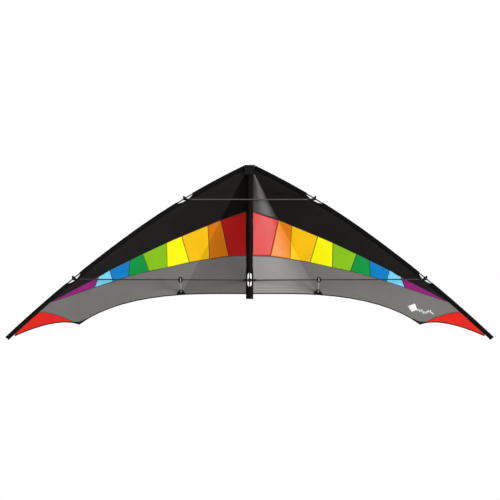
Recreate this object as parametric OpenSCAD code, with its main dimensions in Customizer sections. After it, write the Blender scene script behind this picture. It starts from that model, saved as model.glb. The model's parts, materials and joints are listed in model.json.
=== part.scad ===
// Two-line delta sport kite, opened out and rigged: a carbon frame, a fabric
// sail of coloured panels on each wing, and the fittings that join them.
// X runs along the span, Z up to the nose and Y from the front of the kite to
// the back. The origin is on the spine, level with the centre tee.

/* [Leading edge] */
// Half width of the flat top of the nose
nose_half_w = 24.6; // [20:0.1:30]
// Height of the nose above the centre tee
nose_z = 565.3; // [560:0.1:570]
// Slope of the leading edge at the nose, below the horizontal, in degrees
edge_start_angle = 25.6; // [25:0.1:26]
// Radius of the upper stretch of the leading edge
upper_edge_r = 3600; // [3500:10:3700]
// Length of the upper stretch, up to the ferrule
upper_edge_len = 650; // [640:1:660]
// Radius of the lower stretch of the leading edge
lower_edge_r = 6250; // [6100:10:6400]
// Length of the whole leading edge
edge_len = 1454; // [1446:1:1460]
// Width of the sleeve that holds the leading-edge rods
sleeve_w = 22; // [20:0.5:24]
// Distance from the outer line of the sleeve to the rod's axis
rod_inset = 4.8; // [4.8:0.1:5.5]

/* [Rods] */
// Radius of the spine, leading-edge and lower spreader rods
rod_r = 3; // [2.8:0.05:3.05]
// Bore radius of those hollow rods
rod_bore_r = 2; // [1.5:0.1:2.2]
// Radius of the upper spreader
upper_spreader_r = 2.5; // [2:0.1:2.6]
// Radius of the standoff rods
standoff_r = 2.5; // [2:0.1:2.5]
// Distance of the spreaders in front of the spine and the leading edges
spreader_front = 10; // [9.8:0.1:11]
// Height of the upper spreader
upper_spreader_z = 396.5; // [395:0.5:398]
// Upward slope of the lower spreaders away from the tee, in degrees
lower_spreader_tilt = 0.25; // [0:0.05:0.5]
// Lowest point of the spine rod
spine_bottom_z = -84; // [-84:1:-80]
// Highest point of the spine rod
spine_top_z = 561; // [550:1:562]

/* [Sail] */
// Depth of the sail behind the frame at the standoff foot
sail_depth = 115; // [100:1:125]
// Shape of the rise from the leading edge: 1 is flat, less is rounder
billow_power = 0.85; // [0.75:0.01:1]
// Roundness of the inner panels between spine and crease: 0 is flat
inner_round = 0.5; // [0:0.05:1]
// Thickness of the sail panels
cloth_t = 0.8; // [0.6:0.1:1]
// Distance of the sail's root from the spine's axis
root_x = 4.7; // [4.6:0.1:5]
// Width of the trailing-edge hem
hem_w = 5; // [4:0.5:6]
// Thickness of the folded hem
hem_t = 1.6; // [1.2:0.1:1.8]
// Distance of each standoff foot from the spine
standoff_x = 340; // [338:1:342]

/* [Centre strip] */
// Width of the reinforcing strip on the spine
strip_w = 36; // [34:1:38]
// Thickness of the strip
strip_t = 0.6; // [0.4:0.1:0.6]
// Lowest point of the strip and its folded tail
strip_bottom_z = -92; // [-94:1:-91]
// Width of the cut-out round the centre tee
window_w = 21; // [20:0.5:22]
// Top of the cut-out
window_top_z = 35; // [32:1:38]
// Bottom of the cut-out
window_bottom_z = -32; // [-36:1:-30]

/* [Hidden] */
$fn = 48;
// Segments in a full turn of the long leading-edge arcs
edge_fn = 1800;
// Clearance of a sliding or push fit, on the radius
fit_gap = 0.05;
// Clearance between a soft piece and its neighbour
soft_gap = 0.8;

sides = ["left", "right"];
colours = ["red", "orange", "amber", "yellow", "lime", "green", "blue", "sky", "purple"];
colour_values = [
    [0.86, 0.13, 0.12], [0.90, 0.49, 0.08], [0.98, 0.76, 0.05],
    [1.00, 0.95, 0.05], [0.53, 0.76, 0.13], [0.02, 0.58, 0.25],
    [0.02, 0.50, 0.78], [0.51, 0.80, 0.95], [0.56, 0.11, 0.47]
];
centre_nodes = [
    "spine_rod", "spine_sleeve", "spine_strip", "spine_end_cap", "nose_webbing",
    "centre_tee", "upper_spreader", "right_upper_connector", "left_upper_connector"
];
side_nodes = [
    "lower_spreader", "lower_connector",
    "standoff_connector", "standoff_rod", "standoff_cap", "standoff_clip", "standoff_patch",
    "upper_leading_rod", "lower_leading_rod", "leading_ferrule", "leading_sleeve", "tip_nock",
    "leading_panel", "trailing_panel", "tip_panel", "trailing_hem"
];

// ---- Leading edge: two arcs that meet without a corner --------------------

// Degrees of arc for a length on a circle
function arc_degrees(length, radius) = length / radius * 180 / PI;
// Slope of the leading edge at a distance along it from the nose
function edge_angle(s) =
    edge_start_angle
    + arc_degrees(min(s, upper_edge_len), upper_edge_r)
    + arc_degrees(max(s - upper_edge_len, 0), lower_edge_r);
// Outward direction for a slope
function outward(angle) = [sin(angle), cos(angle)];

nose_point = [nose_half_w, nose_z];
join_angle = edge_angle(upper_edge_len);
upper_centre = nose_point - upper_edge_r * outward(edge_start_angle);
lower_centre = upper_centre + (upper_edge_r - lower_edge_r) * outward(join_angle);

// Point of the wing's plane at a distance along the edge and an inset from it
function edge_point(s, inset = 0) =
    s < upper_edge_len
    ? upper_centre + (upper_edge_r - inset) * outward(edge_angle(s))
    : lower_centre + (lower_edge_r - inset) * outward(edge_angle(s));
// Slope of the edge nearest to a point of the wing's plane
function angle_at(p) =
    let (d = p - upper_centre, angle = atan2(d[0], d[1]), e = p - lower_centre)
    angle < join_angle ? angle : atan2(e[0], e[1]);
// Distance along the edge of the place nearest to a point
function along_edge(p) =
    let (angle = angle_at(p))
    angle < join_angle
    ? (angle - edge_start_angle) * PI / 180 * upper_edge_r
    : upper_edge_len + (angle - join_angle) * PI / 180 * lower_edge_r;
// Distance of a point inside the line of the leading-edge rods
function inside_rod(p) =
    (angle_at(p) < join_angle
        ? upper_edge_r - norm(p - upper_centre)
        : lower_edge_r - norm(p - lower_centre)) - rod_inset;

// ---- Sail shape -------------------------------------------------------------

crease_top = [18, 534];
crease_foot = [standoff_x, -76];
depth_at_foot = inside_rod(crease_foot);

// Place of the crease at a height; it runs straight from nose to standoff
function crease_x(z) =
    crease_top[0]
    + (crease_top[1] - z) / (crease_top[1] - crease_foot[1]) * (crease_foot[0] - crease_top[0]);
// Depth of a flat or slightly rounded outer panel, from the leading edge inward
function outer_depth(p) = sail_depth * pow(max(inside_rod(p), 0) / depth_at_foot, billow_power);
function mix(a, b, t) = a + (b - a) * t;
// Depth of the sail behind the frame: the inner panel rises to the crease,
// halfway between a flat and a round shape
function sail_y(p) =
    let (cx = crease_x(min(p[1], crease_top[1])), t = max(p[0] - root_x, 0) / (cx - root_x))
    p[0] < cx
    ? outer_depth([cx, p[1]]) * mix(t, sin(90 * t), inner_round)
    : outer_depth(p);

// Point of a curve with a start, a control point and an end
function bend(a, c, b, t) = mix(mix(a, c, t), mix(c, b, t), t);

// Seam points between the black leading panel and the rainbow, root to tip
rainbow_end = along_edge([973, -114]);
end_w = 3;
seam_top = [
    [root_x, 341], [143, 295], [207, 269], [336, 215.5], [411, 183], [528, 128],
    [590, 97], [690, 47.5], [745, 15.5], edge_point(rainbow_end, sleeve_w)
];
// Seam points between the rainbow and the grey trailing panel, root to tip
seam_low = [
    [root_x, 119.5], [103, 117], [200, 103.5], [299, 86.5], [408, 62], [498, 43],
    [598, 18], [675.5, -8], [764.5, -36.5], edge_point(rainbow_end + end_w, sleeve_w)
];

// Trailing edge: a nearly straight inner stretch, an outer curve, a tip curve
tail_start = [root_x, -69.5];
tail_bend = [240, -69];
outer_bend = [674, -96.5];
corner = [842, -221.5];
tip_bend = [955, -180];
tip_end = [1188, -292];
function inner_tail(t) = bend(tail_start, tail_bend, crease_foot, t);
function outer_tail(t) = bend(crease_foot, outer_bend, corner, t);
function tip_tail(t) = bend(corner, tip_bend, tip_end, t);
// Seam between the grey panel and the tip panel
grey_end = along_edge([1029, -160]);
tip_seam_end = edge_point(grey_end + end_w, sleeve_w);
tip_seam_bend = [964, -158];
function tip_seam(t) = bend(corner, tip_seam_bend, tip_seam_end, t);

// Where the tip panel starts beside the corner reinforcement
tip_start = 0.12;
// Height of the corner reinforcement above the hem
corner_h = 10;
hem_rise = [0, hem_w];
tip_seam_first = tip_seam(tip_start);
tip_low_first = tip_seam_first - [0, 1];
// Share of the tip curve up to the leading edge's sleeve
tip_stop = 0.93;
tip_last_s = along_edge(tip_tail(tip_stop) + hem_rise);

inner_steps = [0, 0.25, 0.5, 0.75, 0.9];
outer_steps = [for (i = [0:7]) i / 8];
tip_seam_steps = [tip_start, 0.3, 0.5, 0.7, 0.85];
tip_steps = [0.2, 0.3, 0.4, 0.5, 0.6, 0.7, 0.8, 0.88];

hem_low = concat(
    [for (t = inner_steps) inner_tail(t)],
    [for (t = outer_steps) outer_tail(t)],
    [corner, tip_tail(tip_start - 0.01), tip_tail(tip_start)],
    [for (t = tip_steps) tip_tail(t)],
    [tip_tail(tip_stop)]
);
hem_high = concat(
    [for (t = inner_steps) inner_tail(t) + hem_rise],
    [for (t = outer_steps) outer_tail(t) + hem_rise],
    [corner + hem_rise + [0, corner_h], tip_seam_first, tip_low_first],
    [for (t = tip_steps) tip_tail(t) + hem_rise],
    [edge_point(tip_last_s, sleeve_w)]
);
grey_low = concat(
    [for (t = inner_steps) inner_tail(t) + hem_rise],
    [for (t = outer_steps) outer_tail(t) + hem_rise],
    [corner + hem_rise + [0, corner_h]],
    [for (t = tip_seam_steps) tip_seam(t)],
    [tip_seam_end]
);
grey_high = concat(
    [seam_low[0], seam_low[1], mix(seam_low[1], seam_low[2], 0.5), seam_low[2]],
    [mix(seam_low[2], seam_low[3], 0.35), mix(seam_low[2], seam_low[3], 0.5)],
    [for (i = [3:8]) seam_low[i]],
    [for (t = [0.2, 0.4, 0.6, 0.8]) mix(seam_low[8], seam_low[9], t)],
    [seam_low[9]],
    [for (t = [0.4, 0.7, 1]) edge_point(mix(rainbow_end, grey_end, t), sleeve_w)]
);
tip_high = concat(
    [for (t = tip_seam_steps) tip_seam(t)],
    [for (t = [0, 0.2, 0.4, 0.6, 0.8]) edge_point(mix(grey_end + end_w, tip_last_s, t), sleeve_w)]
);
tip_low = concat(
    [tip_low_first],
    [for (t = tip_steps) tip_tail(t) + hem_rise],
    [edge_point(tip_last_s - end_w, sleeve_w)]
);

// The leading panel starts under the nose webbing, then follows the sleeve
webbing_bottom_z = 519;
webbing_half_w = 25;
// Where the sleeve starts along the edge, and the panel just after it
sleeve_start = 14;
leading_start = sleeve_start + 1;
// Columns of the first seam stretch; the first two end under the webbing
root_shares = [0, 0.16, 0.18, 0.45, 0.72];
panel_steps = 3;
leading_low = concat(
    [for (t = root_shares) mix(seam_top[0], seam_top[1], t)],
    [for (i = [1:8], k = [0:panel_steps - 1]) mix(seam_top[i], seam_top[i + 1], k / panel_steps)],
    [seam_top[9]]
);
edge_columns = len(leading_low) - 3;
leading_high = concat(
    [[root_x, webbing_bottom_z - 1], [webbing_half_w + 2, webbing_bottom_z - 1]],
    [
        for (i = [0:edge_columns])
            edge_point(mix(leading_start, rainbow_end - end_w, i / edge_columns), sleeve_w)
    ]
);

// A sheet of cloth between a lower and an upper line, laid on the sail's shape
module cloth(low, high, rows, front = 0, back = cloth_t) {
    columns = len(low);
    row_len = rows + 1;
    layer = columns * row_len;
    function at(i, j) = i * row_len + j;
    function place(p, dy) = [p[0], sail_y(p) + dy, p[1]];
    grid = [for (i = [0:columns - 1], j = [0:rows]) mix(low[i], high[i], j / rows)];
    points = concat(
        [for (p = grid) place(p, front)],
        [for (p = grid) place(p, back)]
    );
    function quad(a, b, c, d) = [[a, b, c], [a, c, d]];
    faces = concat(
        [
            for (i = [0:columns - 2], j = [0:rows - 1])
                each quad(at(i, j), at(i, j + 1), at(i + 1, j + 1), at(i + 1, j))
        ],
        [
            for (i = [0:columns - 2], j = [0:rows - 1])
                each [for (f = quad(at(i, j), at(i, j + 1), at(i + 1, j + 1), at(i + 1, j)))
                    [f[2] + layer, f[1] + layer, f[0] + layer]]
        ],
        [
            for (i = [0:columns - 2])
                each quad(at(i, 0), at(i + 1, 0), at(i + 1, 0) + layer, at(i, 0) + layer)
        ],
        [
            for (i = [0:columns - 2])
                each quad(at(i + 1, rows), at(i, rows), at(i, rows) + layer, at(i + 1, rows) + layer)
        ],
        [
            for (j = [0:rows - 1])
                each quad(at(0, j + 1), at(0, j), at(0, j) + layer, at(0, j + 1) + layer)
        ],
        [
            for (j = [0:rows - 1])
                each quad(
                    at(columns - 1, j), at(columns - 1, j + 1),
                    at(columns - 1, j + 1) + layer, at(columns - 1, j) + layer
                )
        ]
    );
    polyhedron(points, faces);
}

// ---- Placing ----------------------------------------------------------------

// Turns a right-hand piece into the piece of the named side
module on(side) {
    if (side == "left") mirror([1, 0, 0]) children();
    else children();
}

// Sweeps a flat outline along the rods from one place on the edge to another.
// The outline's X points outward from the rod's axis and its Y to the back.
module sweep_on_edge(from, to) {
    module arc(centre, radius, start, end)
        translate([centre[0], 0, centre[1]])
            rotate([90, 0, 0])
                mirror([0, 0, 1])
                    rotate([0, 0, 90 - end])
                        rotate_extrude(angle = end - start, $fn = edge_fn)
                            translate([radius - rod_inset, 0])
                                children();
    if (from < upper_edge_len)
        arc(upper_centre, upper_edge_r, edge_angle(from), edge_angle(min(to, upper_edge_len)))
            children();
    if (to > upper_edge_len)
        arc(lower_centre, lower_edge_r, edge_angle(max(from, upper_edge_len)), edge_angle(to))
            children();
}

// Moves to the rod's axis at a place on the edge: X runs along the rod away
// from the nose and Z points outward
module at_edge(s) {
    p = edge_point(s, rod_inset);
    translate([p[0], 0, p[1]])
        rotate([0, edge_angle(s), 0])
            children();
}

// A cylinder along X between two places
module bar_x(from, to, r) {
    translate([from, 0, 0])
        rotate([0, 90, 0])
            cylinder(h = to - from, r = r);
}

// Moves to the axis of the right lower spreader, with X along it
module on_lower_spreader()
    translate([0, -spreader_front, 0])
        rotate([0, -lower_spreader_tilt, 0])
            children();

// ---- Spine and nose ---------------------------------------------------------

module rod_z(bottom, top, r, bore) {
    translate([0, 0, bottom])
        difference() {
            cylinder(h = top - bottom, r = r);
            translate([0, 0, -1])
                cylinder(h = top - bottom + 2, r = bore);
        }
}

module spine_rod() {
    color([0.10, 0.10, 0.11])
        rod_z(spine_bottom_z, spine_top_z, rod_r, rod_bore_r);
}

sleeve_wall_r = 4.2;
module spine_sleeve() {
    slack = 0.15;
    inner_r = rod_r + slack;
    bottom_z = cap_top_z + 2;
    color([0.08, 0.08, 0.08]) {
        rod_z(window_top_z, webbing_bottom_z, sleeve_wall_r, inner_r);
        rod_z(bottom_z, window_bottom_z, sleeve_wall_r, inner_r);
    }
}

cap_r = 4.2;
cap_top_z = -68;
module spine_end_cap() {
    cap_floor = 3;
    cap_bottom_z = spine_bottom_z - cap_floor;
    color([0.05, 0.05, 0.05])
        difference() {
            translate([0, 0, cap_bottom_z])
                cylinder(h = cap_top_z - cap_bottom_z, r = cap_r);
            translate([0, 0, spine_bottom_z])
                cylinder(h = cap_top_z - spine_bottom_z + 1, r = rod_r);
        }
}

// A slot with round ends in the plane of the strip
module window_outline() {
    r = window_w / 2;
    translate([0, window_top_z - r]) circle(r = r);
    translate([0, window_bottom_z + r]) circle(r = r);
    translate([-r, window_bottom_z + r]) square([window_w, window_top_z - window_bottom_z - window_w]);
}

strip_back_y = -sleeve_wall_r - fit_gap;
module spine_strip() {
    strip_top_z = 560;
    flap_y = cap_r + soft_gap / 2;
    flap_top_z = -70;
    front_y = strip_back_y - strip_t;
    color([0.10, 0.10, 0.09]) {
        difference() {
            translate([-strip_w / 2, front_y, strip_bottom_z])
                cube([strip_w, strip_t, strip_top_z - strip_bottom_z]);
            rotate([90, 0, 0])
                linear_extrude(height = spreader_front)
                    window_outline();
        }
        translate([-strip_w / 2, front_y, strip_bottom_z])
            cube([strip_w, flap_y + strip_t - front_y, strip_t]);
        translate([-strip_w / 2, flap_y, strip_bottom_z])
            cube([strip_w, strip_t, flap_top_z - strip_bottom_z]);
    }
}

// A strap folded over the top of the spine, open at its sides
module nose_webbing() {
    half_depth = 8;
    strap_t = 1.8;
    top_z = nose_z + strap_t - 0.1;
    color([0.07, 0.07, 0.07])
        rotate([90, 0, 90])
            translate([0, 0, -webbing_half_w])
                linear_extrude(height = 2 * webbing_half_w)
                    difference() {
                        union() {
                            translate([0, top_z - half_depth])
                                circle(r = half_depth);
                            translate([-half_depth, webbing_bottom_z])
                                square([2 * half_depth, top_z - half_depth - webbing_bottom_z]);
                        }
                        translate([0, top_z - half_depth])
                            circle(r = half_depth - strap_t);
                        translate([strap_t - half_depth, webbing_bottom_z - 1])
                            square([2 * (half_depth - strap_t), top_z - half_depth - webbing_bottom_z + 1]);
                    }
}

// ---- Centre tee and spreaders -----------------------------------------------

tee_arm_r = 4.9;
tee_reach = 33;
spreader_start = 6;
module centre_tee() {
    hub_r = 7;
    hub_half_h = 9;
    web_half = [5.5, 3.5];
    color([0.04, 0.04, 0.04])
        difference() {
            union() {
                translate([0, 0, -hub_half_h])
                    cylinder(h = 2 * hub_half_h, r = hub_r);
                translate([-web_half[0], -spreader_front, -web_half[1]])
                    cube([2 * web_half[0], spreader_front, 2 * web_half[1]]);
                translate([0, -spreader_front, 0])
                    bar_x(-tee_reach, tee_reach, tee_arm_r);
            }
            translate([0, 0, -hub_half_h - 1])
                cylinder(h = 2 * hub_half_h + 2, r = rod_r + fit_gap);
            for (side = sides)
                on(side)
                    on_lower_spreader()
                        bar_x(spreader_start, tee_reach + 1, rod_r + fit_gap);
        }
}

// Places on the edge where the two spreaders meet it
upper_joint_s = along_edge([318, 399.5]);
lower_joint_s = along_edge([864, 8]);
upper_joint = edge_point(upper_joint_s, rod_inset);
lower_joint = edge_point(lower_joint_s, rod_inset);
socket_len = 30;
socket_floor = 2;
upper_spreader_end = upper_joint[0] - socket_floor;
lower_spreader_end = lower_joint[0] - socket_floor;

// A moulded connector: a hub that turns on the leading-edge rod, a socket that
// takes the spreader's end, and a knob on the outside
module edge_connector(s, socket_z, tilt, spreader_r) {
    hub_r = 6.2;
    hub_half_len = 8;
    knob_r = 5;
    knob_neck_r = 4;
    knob_reach = 9;
    socket_r = 5;
    p = edge_point(s, rod_inset);
    module at_socket()
        translate([p[0], -spreader_front, socket_z])
            rotate([0, -tilt, 0])
                children();
    difference() {
        union() {
            at_edge(s) {
                bar_x(-hub_half_len, hub_half_len, hub_r);
                cylinder(h = knob_reach, r = knob_neck_r);
                translate([0, 0, knob_reach])
                    sphere(r = knob_r);
            }
            at_socket()
                bar_x(-socket_len, knob_r, socket_r);
            translate([p[0], 0, socket_z])
                rotate([90, 0, 0])
                    cylinder(h = spreader_front, r = knob_neck_r);
        }
        at_edge(s)
            bar_x(-hub_half_len - 2, hub_half_len + 2, rod_r + fit_gap);
        at_socket()
            bar_x(-socket_len - 1, -socket_floor, spreader_r + fit_gap);
    }
}

module upper_connector(side) {
    color([0.05, 0.05, 0.05])
        on(side)
            edge_connector(upper_joint_s, upper_spreader_z, 0, upper_spreader_r);
}

lower_socket_z = lower_joint[0] * tan(lower_spreader_tilt);
module lower_connector(side) {
    color([0.05, 0.05, 0.05])
        on(side)
            edge_connector(lower_joint_s, lower_socket_z, lower_spreader_tilt, rod_r);
}

module upper_spreader() {
    color([0.22, 0.21, 0.20])
        translate([0, -spreader_front, upper_spreader_z])
            difference() {
                bar_x(-upper_spreader_end, upper_spreader_end, upper_spreader_r);
                bar_x(-upper_spreader_end - 1, upper_spreader_end + 1, upper_spreader_r - 1);
            }
}

module lower_spreader(side) {
    length = lower_spreader_end / cos(lower_spreader_tilt);
    color([0.20, 0.19, 0.18])
        on(side)
            on_lower_spreader()
                difference() {
                    bar_x(spreader_start, length, rod_r);
                    bar_x(spreader_start - 1, length + 1, rod_bore_r);
                }
}

// ---- Standoffs --------------------------------------------------------------

standoff_top = [standoff_x, standoff_x * tan(lower_spreader_tilt)];
standoff_foot_z = -60;
// Gap between the foot and the sail, which the clip bridges
foot_gap = 8.8;
standoff_foot_y = sail_y([standoff_x, standoff_foot_z]) - foot_gap;
standoff_run = standoff_foot_y + spreader_front;
standoff_drop = standoff_top[1] - standoff_foot_z;
standoff_len = norm([standoff_run, standoff_drop]);
standoff_slope = atan2(standoff_drop, standoff_run);
cap_len = 14;
cap_end = 1.5;

// Moves to the standoff's axis, with Z along it from the spreader to the foot
module on_standoff()
    translate([standoff_x, -spreader_front, standoff_top[1]])
        rotate([-90 - standoff_slope, 0, 0])
            children();

// A spool that turns on the lower spreader, with a socket for the standoff
module standoff_connector(side) {
    spool_r = 7;
    flange_r = 9.5;
    flange_t = 3;
    half_len = 9;
    socket_top = 24;
    socket_r = 4.6;
    color([0.05, 0.05, 0.05])
        on(side)
            difference() {
                union() {
                    on_lower_spreader()
                        translate([standoff_x / cos(lower_spreader_tilt), 0, 0]) {
                            bar_x(-half_len, half_len, spool_r);
                            bar_x(-half_len, flange_t - half_len, flange_r);
                            bar_x(half_len - flange_t, half_len, flange_r);
                        }
                    on_standoff()
                        cylinder(h = socket_top, r = socket_r);
                }
                on_lower_spreader()
                    bar_x(standoff_x - 2 * half_len, standoff_x + 2 * half_len, rod_r + fit_gap);
                on_standoff()
                    translate([0, 0, spool_r + 1])
                        cylinder(h = socket_top, r = standoff_r + fit_gap);
            }
}

module standoff_rod(side) {
    start = 8.2;
    color([0.62, 0.61, 0.60])
        on(side)
            on_standoff()
                translate([0, 0, start])
                    cylinder(h = standoff_len - cap_end - start, r = standoff_r);
}

standoff_cap_r = 4;
module standoff_cap(side) {
    color([0.05, 0.05, 0.05])
        on(side)
            on_standoff()
                translate([0, 0, standoff_len - cap_len])
                    difference() {
                        cylinder(h = cap_len, r = standoff_cap_r);
                        translate([0, 0, -1])
                            cylinder(h = cap_len - cap_end + 1, r = standoff_r);
                    }
}

// A fork on the sail that holds the standoff's foot, open below and in front,
// with a stem behind it that is sewn to the patch
module standoff_clip(side) {
    side_gap = 1.4;
    wall = 1.6;
    grip = 6;
    floor_gap = 0.4;
    floor_t = 1.2;
    reach_down = 5;
    slot_half_w = standoff_cap_r + side_gap;
    half_w = slot_half_w + wall;
    height = half_w + reach_down;
    stem_w = 8;
    stem_h = 9;
    stem_top_z = standoff_foot_z + 3;
    stem_front_y = standoff_foot_y + 2;
    stem_back_y = sail_y([standoff_x + stem_w / 2, stem_top_z]) - 2 * soft_gap;
    color([0.05, 0.05, 0.05])
        on(side) {
            on_standoff()
                translate([0, 0, standoff_len + floor_gap])
                    difference() {
                        translate([-half_w, -half_w, -grip])
                            cube([2 * half_w, height, grip + floor_t]);
                        translate([-slot_half_w, -slot_half_w, -grip - 1])
                            cube([2 * slot_half_w, height, grip + 1]);
                    }
            translate([standoff_x - stem_w / 2, stem_front_y, stem_top_z - stem_h])
                cube([stem_w, stem_back_y - stem_front_y, stem_h]);
        }
}

// A triangle of stiff cloth on the trailing edge, behind the clip
module standoff_patch(side) {
    half_w = 20.5;
    height = 22;
    base_z = crease_foot[1] + hem_w + 0.3;
    inner_rise = 1.6;
    outer_fall = 1;
    steps = [-1, -0.5, 0, 0.5, 1];
    low = [
        for (t = steps)
            [standoff_x + t * half_w, base_z - max(t, 0) * outer_fall + max(-t, 0) * inner_rise]
    ];
    high = [for (i = [0:4]) low[i] + [0, 1 + (1 - abs(steps[i])) * height]];
    color([0.04, 0.04, 0.04])
        on(side)
            cloth(low, high, 3, front = -soft_gap - 0.5, back = -soft_gap);
}

// ---- Leading edge -----------------------------------------------------------

// Where the upper rod starts, the gap between the rods inside the ferrule, and
// the distance from the lower rod's end to the end of the leading edge
rod_start_s = 18;
rod_joint_gap = 2;
rod_end_gap = 4;

module rod_outline()
    difference() {
        circle(r = rod_r);
        circle(r = rod_bore_r);
    }

module upper_leading_rod(side) {
    color([0.10, 0.10, 0.11])
        on(side)
            sweep_on_edge(rod_start_s, upper_edge_len - rod_joint_gap / 2)
                rod_outline();
}

module lower_leading_rod(side) {
    color([0.10, 0.10, 0.11])
        on(side)
            sweep_on_edge(upper_edge_len + rod_joint_gap / 2, edge_len - rod_end_gap)
                rod_outline();
}

ferrule_r = 3.9;
module leading_ferrule(side) {
    half_len = 32;
    color([0.55, 0.55, 0.57])
        on(side)
            at_edge(upper_edge_len)
                difference() {
                    bar_x(-half_len, half_len, ferrule_r);
                    bar_x(-half_len - 1, half_len + 1, rod_r + 0.2);
                }
}

module tip_nock(side) {
    length = 18;
    end_t = 1;
    color([0.05, 0.05, 0.05])
        on(side)
            at_edge(edge_len)
                difference() {
                    bar_x(-length, end_t, ferrule_r);
                    bar_x(-length - 1, 0.5 - rod_end_gap, rod_r + fit_gap);
                }
}

// The sleeve is cut away round each connector, leaving a narrow band of cloth
gap_half_len = 45;
lower_gap_half_len = 40;
module leading_sleeve(side) {
    outer_r = 4.7;
    inner_r = 4.1;
    fold = rod_inset - sleeve_w;
    fold_y = outer_depth(edge_point(sleeve_start, sleeve_w));
    band_start = 10;
    band_steps = 4;
    edge_gap = 0.1;
    module tube_outline()
        difference() {
            union() {
                circle(r = outer_r);
                polygon([
                    [-1, edge_gap - outer_r + 0.5], [fold, fold_y],
                    [fold, fold_y + cloth_t], [-1, outer_r - 0.3]
                ]);
            }
            circle(r = inner_r);
        }
    module band(from, to) {
        places = [for (i = [0:band_steps]) mix(from + edge_gap, to - edge_gap, i / band_steps)];
        cloth(
            [for (s = places) edge_point(s, sleeve_w - edge_gap)],
            [for (s = places) edge_point(s, rod_inset + band_start)],
            1
        );
    }
    upper_gap = [upper_joint_s - gap_half_len, upper_joint_s + gap_half_len];
    lower_gap = [lower_joint_s - lower_gap_half_len, lower_joint_s + lower_gap_half_len];
    color([0.06, 0.06, 0.06])
        on(side) {
            sweep_on_edge(sleeve_start, upper_gap[0]) tube_outline();
            band(upper_gap[0], upper_gap[1]);
            sweep_on_edge(upper_gap[1], lower_gap[0]) tube_outline();
            band(lower_gap[0], lower_gap[1]);
            sweep_on_edge(lower_gap[1], edge_len) tube_outline();
        }
}

// ---- Sail panels ------------------------------------------------------------

module leading_panel(side) {
    color([0.12, 0.11, 0.10])
        on(side)
            cloth(leading_low, leading_high, 7);
}

module rainbow_panel(side, i) {
    steps = [0, 0.25, 0.5, 0.75, 1];
    low = [for (t = steps) mix(seam_low[i], seam_low[i + 1], t)];
    high = [for (t = steps) mix(seam_top[i], seam_top[i + 1], t)];
    color(colour_values[i])
        on(side)
            cloth(low, high, 4);
}

// The trailing panel is cut away beside the centre tee
module trailing_panel(side) {
    color([0.45, 0.44, 0.43])
        on(side)
            difference() {
                cloth(grey_low, grey_high, 6);
                translate([0, sail_depth, 0])
                    rotate([90, 0, 0])
                        linear_extrude(height = 2 * sail_depth)
                            window_outline();
            }
}

module tip_panel(side) {
    color([0.88, 0.14, 0.11])
        on(side)
            cloth(tip_low, tip_high, 3);
}

module trailing_hem(side) {
    color([0.05, 0.05, 0.05])
        on(side)
            cloth(hem_low, hem_high, 1, front = (cloth_t - hem_t) / 2, back = (cloth_t + hem_t) / 2);
}

// ---- Everything -------------------------------------------------------------

spine_rod();
spine_sleeve();
spine_strip();
spine_end_cap();
nose_webbing();
centre_tee();
upper_spreader();
for (side = sides) {
    upper_connector(side);
    lower_connector(side);
    lower_spreader(side);
    standoff_connector(side);
    standoff_rod(side);
    standoff_cap(side);
    standoff_clip(side);
    standoff_patch(side);
    upper_leading_rod(side);
    lower_leading_rod(side);
    leading_ferrule(side);
    leading_sleeve(side);
    tip_nock(side);
    leading_panel(side);
    trailing_panel(side);
    tip_panel(side);
    trailing_hem(side);
    for (i = [0:8])
        rainbow_panel(side, i);
}
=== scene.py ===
"""The looks of a two-line delta sport kite, on the frame of its CAD model.

Shapes are worked out in millimetres and turned into metres when a piece is made.
X runs along the span, Y from the front of the kite to the back and Z up to the nose.
Every wing piece is described once, for the right wing, and mirrored for the left.
"""

import json
import math

import bmesh
import bpy
from mathutils import Matrix, Vector


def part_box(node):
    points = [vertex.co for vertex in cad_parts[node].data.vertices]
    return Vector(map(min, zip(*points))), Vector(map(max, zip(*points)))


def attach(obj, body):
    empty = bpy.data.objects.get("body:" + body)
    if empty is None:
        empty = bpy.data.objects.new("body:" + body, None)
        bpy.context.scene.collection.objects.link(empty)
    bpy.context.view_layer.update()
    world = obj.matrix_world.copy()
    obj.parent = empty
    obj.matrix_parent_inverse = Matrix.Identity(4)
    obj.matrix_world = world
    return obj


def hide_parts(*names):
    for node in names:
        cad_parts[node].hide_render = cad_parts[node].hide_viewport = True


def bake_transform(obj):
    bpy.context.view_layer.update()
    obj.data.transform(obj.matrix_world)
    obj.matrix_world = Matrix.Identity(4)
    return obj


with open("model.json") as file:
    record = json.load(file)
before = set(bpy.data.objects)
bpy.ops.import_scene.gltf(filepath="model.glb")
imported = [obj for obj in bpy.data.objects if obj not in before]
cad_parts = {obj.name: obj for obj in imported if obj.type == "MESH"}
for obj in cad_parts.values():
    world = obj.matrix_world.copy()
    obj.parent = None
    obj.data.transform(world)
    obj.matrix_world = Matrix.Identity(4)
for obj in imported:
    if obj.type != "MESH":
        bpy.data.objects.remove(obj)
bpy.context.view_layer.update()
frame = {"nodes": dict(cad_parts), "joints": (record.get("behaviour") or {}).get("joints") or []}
MM = 0.001
SIDES = {"right": 1, "left": -1}
joints = {joint["name"]: joint for joint in frame["joints"]}

# ---- The kite's driving lines, as in the part --------------------------------

NOSE = (24.6, 565.3)
START_ANGLE = 25.6
UPPER_R = 3600
UPPER_LEN = 650
LOWER_R = 6250
EDGE_LEN = 1454
SLEEVE_W = 22
ROD_INSET = 4.8
# Depth at the standoffs, how it grows from the leading edge, and how round the inner part is
SAIL_DEPTH = 115
BILLOW_POWER = 0.85
INNER_ROUND = 0.5
ROOT_X = 4.7
HEM_W = 5
STRIP_HALF_W = 18
WEBBING_HALF_W = 25
TEE_REACH = 33

ROOT_TOP = (ROOT_X, 556)
NOSE_CORNER = (27.2, 559.5)
CREASE_TOP = (18, 534)
CREASE_FOOT = (340, -76)


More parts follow.
